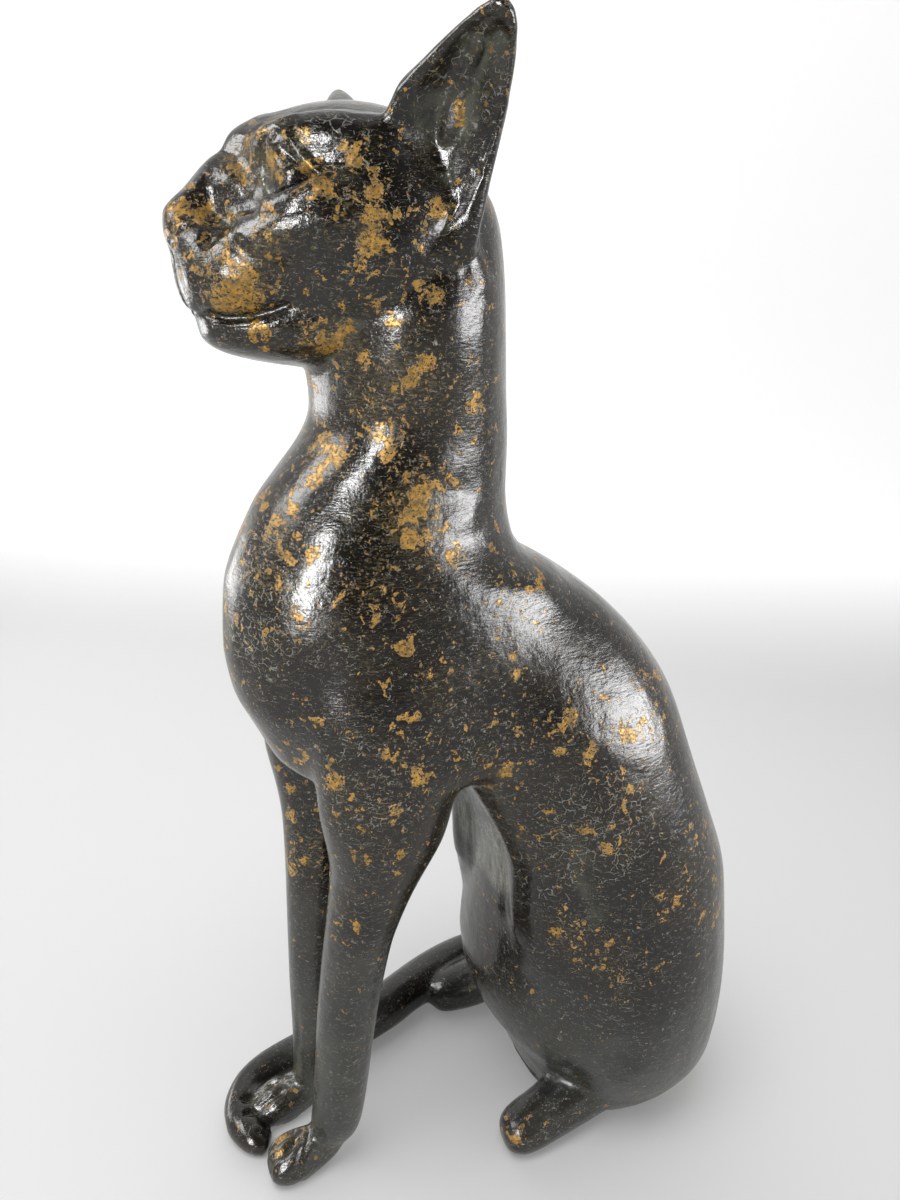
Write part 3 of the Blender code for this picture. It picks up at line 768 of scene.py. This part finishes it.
def tree_of(name):
    """A new node group, with its input and output nodes."""
    tree = bpy.data.node_groups.new(name, "ShaderNodeTree")
    return tree, tree.nodes.new("NodeGroupInput"), tree.nodes.new("NodeGroupOutput")


def socket(tree, name, way, kind="NodeSocketFloat", value=None):
    """Adds a named socket to a node group."""
    made = tree.interface.new_socket(name=name, in_out=way, socket_type=kind)
    if value is not None:
        made.default_value = value


def join(tree, source, target):
    """Links a socket, or sets a plain value."""
    if isinstance(source, bpy.types.NodeSocket):
        tree.links.new(source, target)
    else:
        target.default_value = source


def maths(tree, operation, *values):
    """A Math node."""
    node = tree.nodes.new("ShaderNodeMath")
    node.operation = operation
    for value, target in zip(values, node.inputs):
        join(tree, value, target)
    return node.outputs[0]


def stretch(tree, vector, scale=(1.0, 1.0, 1.0), move=(0.0, 0.0, 0.0)):
    """Scales and moves a vector."""
    node = tree.nodes.new("ShaderNodeMapping")
    join(tree, vector, node.inputs["Vector"])
    node.inputs["Scale"].default_value = scale
    node.inputs["Location"].default_value = move
    return node.outputs[0]


def noise(tree, vector, scale, detail=4.0, roughness=0.55, distortion=0.0):
    """A Noise Texture's value."""
    node = tree.nodes.new("ShaderNodeTexNoise")
    join(tree, vector, node.inputs["Vector"])
    for name, value in (
        ("Scale", scale),
        ("Detail", detail),
        ("Roughness", roughness),
        ("Distortion", distortion),
    ):
        join(tree, value, node.inputs[name])
    return node.outputs["Fac"]


def step(tree, value, start, end, low=0.0, high=1.0):
    """A clamped ramp from low at start to high at end."""
    node = tree.nodes.new("ShaderNodeMapRange")
    node.clamp = True
    for name, given in (
        ("Value", value),
        ("From Min", start),
        ("From Max", end),
        ("To Min", low),
        ("To Max", high),
    ):
        join(tree, given, node.inputs[name])
    return node.outputs["Result"]


def blend_colour(tree, share, low, high):
    """Mixes two colours."""
    node = tree.nodes.new("ShaderNodeMix")
    node.data_type = "RGBA"
    join(tree, share, node.inputs["Factor"])
    for value, target in ((low, node.inputs["A"]), (high, node.inputs["B"])):
        join(tree, value if isinstance(value, bpy.types.NodeSocket) else (*value, 1.0), target)
    return node.outputs["Result"]


def rubbed_gold():
    """Node group: leaves and flakes of rubbed gold, and how bright the gold is."""
    tree, given, made = tree_of("rubbed_gold")
    socket(tree, "Position", "INPUT", "NodeSocketVector")
    socket(tree, "Amount", "INPUT", value=0.4)
    socket(tree, "Leaf", "INPUT", value=0.0)
    socket(tree, "Mask", "OUTPUT")
    socket(tree, "Shade", "OUTPUT")
    place = given.outputs["Position"]
    ragged = noise(tree, place, scale=0.55, detail=8.0, roughness=0.70, distortion=0.8)
    leaf = maths(tree, "MULTIPLY_ADD", ragged, 3.0, given.outputs["Leaf"])
    mask = step(tree, leaf, *LEAF_EDGE)
    drifted = stretch(tree, place, move=(9.0, 4.0, 2.0))
    cluster = noise(tree, drifted, scale=0.045, detail=3.0, roughness=0.6)
    amount = maths(tree, "MULTIPLY_ADD", cluster, 1.5, given.outputs["Amount"])
    for move, scale, detail, start, gain, cover in FLAKES:
        value = noise(tree, stretch(tree, place, move=move), scale, detail, distortion=0.3)
        value = maths(tree, "MULTIPLY_ADD", amount, gain, value)
        flakes = step(tree, value, start, start + FLAKE_EDGE, high=cover)
        mask = maths(tree, "MAXIMUM", mask, flakes)
    rubbed = stretch(tree, place, (1.0, 1.0, 1.5), (3.0, 8.0, 6.0))
    worn = noise(tree, rubbed, scale=1.2, detail=5.0, roughness=0.75)
    mask = maths(tree, "MULTIPLY", mask, step(tree, worn, 0.42, 0.48))
    join(tree, mask, made.inputs["Mask"])
    shade = noise(tree, place, scale=0.6, detail=6.0, roughness=0.72)
    join(tree, step(tree, shade, 0.40, 0.60), made.inputs["Shade"])
    return tree


def olive_dust():
    """Node group: a fine dusting, drawn out level, as a mask."""
    tree, given, made = tree_of("olive_dust")
    socket(tree, "Position", "INPUT", "NodeSocketVector")
    socket(tree, "Amount", "INPUT", value=0.4)
    socket(tree, "Mask", "OUTPUT")
    place = given.outputs["Position"]
    drawn_out = stretch(tree, place, (0.7, 0.7, 1.8), (4.0, 2.0, 9.0))
    grain = noise(tree, drawn_out, scale=1.0, detail=5.0, roughness=0.75)
    drifted = stretch(tree, place, move=(6.0, 1.0, 3.0))
    drift = noise(tree, drifted, scale=0.08, detail=3.0, roughness=0.6)
    thick = maths(tree, "MULTIPLY_ADD", given.outputs["Amount"], 0.21, grain)
    thick = maths(tree, "MULTIPLY_ADD", drift, 0.25, thick)
    join(tree, step(tree, thick, 0.74, 0.86), made.inputs["Mask"])
    return tree


def crackled(tree, place, amount):
    """The edges of the cells into which the lacquer has broken up, where there is crackle."""
    wander = tree.nodes.new("ShaderNodeTexNoise")
    wander.inputs["Scale"].default_value = 0.5
    join(tree, place, wander.inputs["Vector"])
    shift = tree.nodes.new("ShaderNodeVectorMath")
    shift.operation = "MULTIPLY_ADD"
    join(tree, wander.outputs["Color"], shift.inputs[0])
    shift.inputs[1].default_value = (2.0, 2.0, 2.0)
    join(tree, place, shift.inputs[2])
    cells = tree.nodes.new("ShaderNodeTexVoronoi")
    cells.feature = "DISTANCE_TO_EDGE"
    cells.inputs["Scale"].default_value = 0.42
    join(tree, shift.outputs[0], cells.inputs["Vector"])
    edge = step(tree, cells.outputs["Distance"], 0.055, 0.02)
    cover = noise(tree, place, scale=0.55, detail=3.0, roughness=0.6)
    cover = maths(tree, "MULTIPLY_ADD", amount, 0.2, cover)
    return maths(tree, "MULTIPLY", edge, step(tree, cover, 0.66, 0.74, high=0.7))


def hair_lines():
    """Node group: fine pale scratches that run mostly level, and crackle between them."""
    tree, given, made = tree_of("hair_lines")
    socket(tree, "Position", "INPUT", "NodeSocketVector")
    socket(tree, "Crackle", "INPUT", value=0.3)
    socket(tree, "Width", "INPUT", value=0.007)
    socket(tree, "Mask", "OUTPUT")
    place = given.outputs["Position"]
    width = given.outputs["Width"]
    mask = None
    for drawn, move, scale, start in SCRATCHES:
        shifted = stretch(tree, place, drawn, move)
        value = noise(tree, shifted, scale, detail=3.0, roughness=0.62, distortion=0.4)
        near = maths(tree, "ABSOLUTE", maths(tree, "SUBTRACT", value, 0.5))
        line = step(tree, near, width, maths(tree, "MULTIPLY", width, 0.3))
        cover = noise(tree, shifted, scale=0.45, detail=3.0, roughness=0.6)
        line = maths(tree, "MULTIPLY", line, step(tree, cover, start, start + 0.08))
        mask = line if mask is None else maths(tree, "MAXIMUM", mask, line)
    edge = crackled(tree, place, given.outputs["Crackle"])
    join(tree, maths(tree, "MAXIMUM", mask, edge), made.inputs["Mask"])
    return tree


def brushed_skin():
    """Node group: slight hammering, brush marks across it, and creases, as a height."""
    tree, given, made = tree_of("brushed_skin")
    socket(tree, "Position", "INPUT", "NodeSocketVector")
    socket(tree, "Hammering", "INPUT", value=1.0)
    socket(tree, "Brush Marks", "INPUT", value=0.28)
    socket(tree, "Crumpled", "INPUT", value=0.0)
    socket(tree, "Height", "OUTPUT")
    place = given.outputs["Position"]
    hammer = noise(tree, place, scale=0.20, detail=2.0, roughness=0.5)
    fine = noise(tree, place, scale=1.3, detail=3.0, roughness=0.65)
    along = stretch(tree, place, (0.4, 0.4, 2.2))
    level = noise(tree, along, scale=0.9, detail=3.0, roughness=0.6)
    downward = stretch(tree, place, (2.0, 2.0, 0.35))
    upright = noise(tree, downward, scale=0.9, detail=2.0, roughness=0.6)
    brush = maths(tree, "ADD", level, maths(tree, "MULTIPLY", upright, 0.3))
    brush = maths(tree, "MULTIPLY_ADD", fine, 0.8, brush)
    height = maths(tree, "MULTIPLY", hammer, given.outputs["Hammering"])
    height = maths(tree, "MULTIPLY_ADD", brush, given.outputs["Brush Marks"], height)
    creases = noise(tree, place, scale=0.6, detail=3.0, roughness=0.6)
    height = maths(tree, "MULTIPLY_ADD", creases, given.outputs["Crumpled"], height)
    join(tree, height, made.inputs["Height"])
    return tree


def use(tree, group, **values):
    """Places a node group and fills its inputs."""
    node = tree.nodes.new("ShaderNodeGroup")
    node.node_tree = group
    for name, value in values.items():
        join(tree, value, node.inputs[name.replace("_", " ")])
    return node


def kept(tree, name):
    """Reads a value stored on the skin."""
    node = tree.nodes.new("ShaderNodeAttribute")
    node.attribute_name = name
    return node.outputs["Fac"]


def aged_lacquer(look):
    """Near-black lacquer with rubbed gold, dust, hair lines and grey green in the hollows."""
    material = bpy.data.materials.new("aged_lacquer")
    material.use_nodes = True
    tree = material.node_tree
    shader = tree.nodes["Principled BSDF"]
    coordinates = tree.nodes.new("ShaderNodeTexCoord")
    place = stretch(tree, coordinates.outputs["Object"], MILLIMETRES)
    gold = use(
        tree, rubbed_gold(), Position=place, Amount=kept(tree, "gold"), Leaf=kept(tree, "leaf")
    )
    hair = use(tree, hair_lines(), Position=place, Crackle=kept(tree, "crackle"))
    skin = use(tree, brushed_skin(), Position=place, Crumpled=kept(tree, "crumpled"))
    hollow = kept(tree, "hollow")
    bare = kept(tree, "bare")

    warmth = noise(tree, place, scale=0.05, detail=5.0, roughness=0.6)
    warm = step(tree, warmth, 0.42, 0.66)
    colour = blend_colour(tree, warm, look.lacquer, look.lacquer_warm)
    cloud = noise(tree, place, scale=0.12, detail=6.0, roughness=0.65)
    thin = maths(tree, "MINIMUM", bare, 1.0)
    thin = maths(tree, "MULTIPLY", thin, step(tree, cloud, 0.3, 0.6, low=0.55))
    colour = blend_colour(tree, thin, colour, look.satin)
    # Pale upright strokes where the place is barest, on the front of the belly: partly real chalky
    # strokes, partly painted reflection that lightens the whole face.
    downward = stretch(tree, place, (1.8, 1.8, 0.16))
    strokes = noise(tree, downward, scale=0.9, detail=4.0, roughness=0.6)
    chalk_and_sheen = step(tree, strokes, 0.42, 0.62, low=0.1, high=0.55)
    chalk_and_sheen = maths(tree, "MULTIPLY", chalk_and_sheen, step(tree, bare, CHALK_AND_SHEEN, 1.8))
    colour = blend_colour(tree, chalk_and_sheen, colour, look.scratch)
    dust = use(tree, olive_dust(), Position=place, Amount=kept(tree, "gold"))
    colour = blend_colour(tree, dust.outputs["Mask"], colour, look.dust)
    green = maths(tree, "MULTIPLY", step(tree, hollow, 0.35, 1.0), step(tree, cloud, 0.42, 0.6))
    colour = blend_colour(tree, maths(tree, "MULTIPLY", green, 0.6), colour, look.verdigris)
    lines = maths(tree, "MULTIPLY", hair.outputs["Mask"], 0.6)
    colour = blend_colour(tree, lines, colour, look.scratch)
    metal = blend_colour(tree, gold.outputs["Shade"], look.gold_dull, look.gold)
    flakes = gold.outputs["Mask"]
    join(tree, blend_colour(tree, flakes, colour, metal), shader.inputs["Base Color"])

    join(tree, maths(tree, "MULTIPLY", flakes, 0.4), shader.inputs["Metallic"])
    dull = step(tree, cloud, 0.3, 0.7, look.roughness - 0.05, look.roughness + 0.07)
    dull = maths(tree, "MULTIPLY_ADD", thin, 0.12, dull)
    dull = maths(tree, "MULTIPLY_ADD", lines, 0.15, dull)
    dull = maths(tree, "MULTIPLY_ADD", flakes, 0.14, dull)
    join(tree, dull, shader.inputs["Roughness"])

    height = maths(tree, "MULTIPLY_ADD", flakes, 0.25, skin.outputs["Height"])
    height = maths(tree, "MULTIPLY_ADD", hair.outputs["Mask"], 0.12, height)
    bump = tree.nodes.new("ShaderNodeBump")
    bump.inputs["Strength"].default_value = BUMP_STRENGTH
    bump.inputs["Distance"].default_value = BUMP_HEIGHT
    join(tree, height, bump.inputs["Height"])
    join(tree, bump.outputs["Normal"], shader.inputs["Normal"])
    return material


def paper_with_painted_shade(studio):
    """Matt white paper, lit through from behind where it rises, and darkened towards one side as painted
    shade.
    """
    material = bpy.data.materials.new("sweep_paper")
    material.use_nodes = True
    tree = material.node_tree
    shader = tree.nodes["Principled BSDF"]
    shader.inputs["Roughness"].default_value = 0.9
    shader.inputs["Specular IOR Level"].default_value = 0.1
    coordinates = tree.nodes.new("ShaderNodeTexCoord")
    split = tree.nodes.new("ShaderNodeSeparateXYZ")
    join(tree, coordinates.outputs["Object"], split.inputs[0])
    # Painted shade: the paper's colour darkens towards one side, standing in for light falling off.
    aside = tree.nodes.new("ShaderNodeVectorMath")
    aside.operation = "DOT_PRODUCT"
    join(tree, coordinates.outputs["Object"], aside.inputs[0])
    aside.inputs[1].default_value = PAPER_PAINTED_SHADE_WAY
    painted_falloff = step(tree, aside.outputs["Value"], *PAPER_PAINTED_SHADE_SPAN)
    paper = blend_colour(tree, painted_falloff, studio.paper, studio.paper_painted_shade)
    join(tree, paper, shader.inputs["Base Color"])
    lit = step(tree, split.outputs["Z"], *GLOW_HEIGHTS)
    glow = blend_colour(tree, lit, (0.0, 0.0, 0.0), (1.0, 1.0, 1.0))
    join(tree, glow, shader.inputs["Emission Color"])
    shader.inputs["Emission Strength"].default_value = studio.paper_glow
    return material


def towards(heading, elevation):
    """The direction with this heading and elevation, in degrees."""
    turn = math.radians(heading)
    rise = math.radians(elevation)
    return Vector((math.sin(turn) * math.cos(rise), -math.cos(turn) * math.cos(rise), math.sin(rise)))


def room(studio):
    """Even light from all round, with little from the dark side of the room."""
    world = bpy.data.worlds.new("studio_room")
    world.use_nodes = True
    tree = world.node_tree
    background = tree.nodes["Background"]
    background.inputs["Color"].default_value = (1.0, 1.0, 1.0, 1.0)
    heading, elevation, dark, light = DARK_SIDE
    coordinates = tree.nodes.new("ShaderNodeTexCoord")
    facing = tree.nodes.new("ShaderNodeVectorMath")
    facing.operation = "DOT_PRODUCT"
    join(tree, coordinates.outputs["Generated"], facing.inputs[0])
    facing.inputs[1].default_value = towards(heading, elevation)
    dark, light = (math.cos(math.radians(angle)) for angle in (dark, light))
    level = step(tree, facing.outputs["Value"], light, dark, studio.room_light, studio.room_dark)
    path = tree.nodes.new("ShaderNodeLightPath")
    seen = maths(tree, "MULTIPLY", path.outputs["Is Camera Ray"], studio.room_light)
    level = maths(tree, "MAXIMUM", level, seen)
    join(tree, level, background.inputs["Strength"])
    return world


class SEATEDCAT_OT_figure(bpy.types.Operator):
    """Dresses the casting: a finer skin with the carving, and its lacquer"""

    bl_idname = "seatedcat.figure"
    bl_label = "Cat"

    def execute(self, context):
        look = context.scene.seated_cat
        mesh = finer_skin(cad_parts[NODE].data, look.skin_cuts)
        skin = bpy.data.objects.new("cat_skin", mesh)
        context.scene.collection.objects.link(skin)
        smooth(mesh, look)
        refine(mesh, is_face)
        carve(mesh, CARVING, look.carving_depth, True)
        carve(mesh, MARKS, look.carving_depth, False)
        flat_below(mesh)
        kept_inside(mesh)
        mark_finish(mesh)
        mesh.shade_smooth()
        mesh.materials.clear()
        mesh.materials.append(aged_lacquer(look))
        triangles = sum(len(f.vertices) - 2 for f in mesh.polygons)
        if triangles > MOST_TRIANGLES:
            raise RuntimeError(f"the skin has {triangles} triangles")
        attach(skin, "root")
        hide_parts(NODE)
        return {"FINISHED"}


def sweep_mesh(studio):
    """The paper: a floor that bends up behind the cat."""
    heading = Vector(SWEEP_HEADING).normalized()
    side = Vector((-heading.y, heading.x, 0.0))
    profile = [(-SWEEP_FRONT, 0.0), (studio.sweep_back, 0.0)]
    for i in range(1, BEND_STEPS + 1):
        angle = math.pi / 2 * i / BEND_STEPS
        reach = studio.sweep_back + studio.sweep_bend * math.sin(angle)
        profile.append((reach, studio.sweep_bend * (1 - math.cos(angle))))
    profile.append((profile[-1][0], SWEEP_TOP))
    work = bmesh.new()
    half = studio.sweep_width / 2
    rows = []
    for reach, height in profile:
        middle = heading * reach + Vector((0, 0, height))
        rows.append([work.verts.new(middle + side * half * way) for way in (-1, 1)])
    for near, far in zip(rows, rows[1:]):
        work.faces.new((near[0], near[1], far[1], far[0]))
    mesh = bpy.data.meshes.new("paper_sweep")
    work.to_mesh(mesh)
    work.free()
    mesh.shade_smooth()
    return mesh


def hang_lamps(scene):
    """Hangs each lamp where it faces the middle of the cat, and says what it lights."""
    middle = Vector((0.0, 0.0, (LOW.z + HIGH.z) / 2))
    for name, heading, elevation, distance, width, height, power, target, shadow in LAMPS:
        lamp = bpy.data.lights.new(name, "AREA")
        lamp.shape = "RECTANGLE"
        lamp.size = width
        lamp.size_y = height
        lamp.energy = power
        lamp.use_shadow = shadow
        held = bpy.data.objects.new(name, lamp)
        scene.collection.objects.link(held)
        way = towards(heading, elevation)
        held.location = middle + way * distance
        held.rotation_euler = (-way).to_track_quat("-Z", "Y").to_euler()
        lit = bpy.data.collections.new(f"lit_by_{name}")
        lit.objects.link(bpy.data.objects[target])
        held.light_linking.receiver_collection = lit


def stand_camera(scene, lens):
    """Stands the camera in front of the cat's left shoulder, looking down a little."""
    tilt = math.asin(VIEW_FALL)
    up = Vector((0, 0, 1))
    level = Vector(VIEW_HEADING).normalized()
    ahead = level * math.cos(tilt) - up * math.sin(tilt)
    across = level.cross(up)
    upward = across.cross(ahead)
    camera = bpy.data.cameras.new("camera")
    camera.lens = lens
    camera.sensor_width = SENSOR
    camera.sensor_fit = "AUTO"
    camera.clip_start = NEAREST_SEEN
    held = bpy.data.objects.new("camera", camera)
    scene.collection.objects.link(held)
    stand = Matrix((across, upward, -ahead)).transposed().to_4x4()
    stand.translation = Vector(ORIGIN) + Vector(EYE) * UNIT
    held.matrix_world = stand
    scene.camera = held


class SEATEDCAT_OT_studio(bpy.types.Operator):
    """Lays the paper sweep, hangs the lamps and sets up the camera"""

    bl_idname = "seatedcat.studio"
    bl_label = "Studio"

    def execute(self, context):
        studio = context.scene.seated_cat_studio
        scene = context.scene
        paper = bpy.data.objects.new("paper_sweep", sweep_mesh(studio))
        paper.data.materials.append(paper_with_painted_shade(studio))
        scene.collection.objects.link(paper)
        scene.world = room(studio)
        hang_lamps(scene)
        stand_camera(scene, studio.lens)
        scene.view_settings.view_transform = "Standard"
        return {"FINISHED"}


class SEATEDCAT_PT_panel(bpy.types.Panel):
    """The cat and its studio"""

    bl_idname = "SEATEDCAT_PT_panel"
    bl_label = "Seated cat"
    bl_space_type = "VIEW_3D"
    bl_region_type = "UI"
    bl_category = "Seated cat"

    def draw(self, context):
        for heading, settings, operator in (
            ("Cat", context.scene.seated_cat, SEATEDCAT_OT_figure.bl_idname),
            ("Studio", context.scene.seated_cat_studio, SEATEDCAT_OT_studio.bl_idname),
        ):
            box = self.layout.box()
            box.label(text=heading)
            for name in settings.bl_rna.properties.keys():
                if name not in ("rna_type", "name"):
                    box.prop(settings, name)
            box.operator(operator)


CLASSES = (
    CatSettings,
    StudioSettings,
    SEATEDCAT_OT_figure,
    SEATEDCAT_OT_studio,
    SEATEDCAT_PT_panel,
)


def register():
    """Registers the settings, operators and panel."""
    for entry in CLASSES:
        bpy.utils.register_class(entry)
    bpy.types.Scene.seated_cat = PointerProperty(type=CatSettings)
    bpy.types.Scene.seated_cat_studio = PointerProperty(type=StudioSettings)


def unregister():
    """Takes them away again."""
    del bpy.types.Scene.seated_cat_studio
    del bpy.types.Scene.seated_cat
    for entry in reversed(CLASSES):
        bpy.utils.unregister_class(entry)


def main():
    """Builds everything."""
    register()
    bpy.ops.seatedcat.figure()
    bpy.ops.seatedcat.studio()


if __name__ == "__main__":
    main()
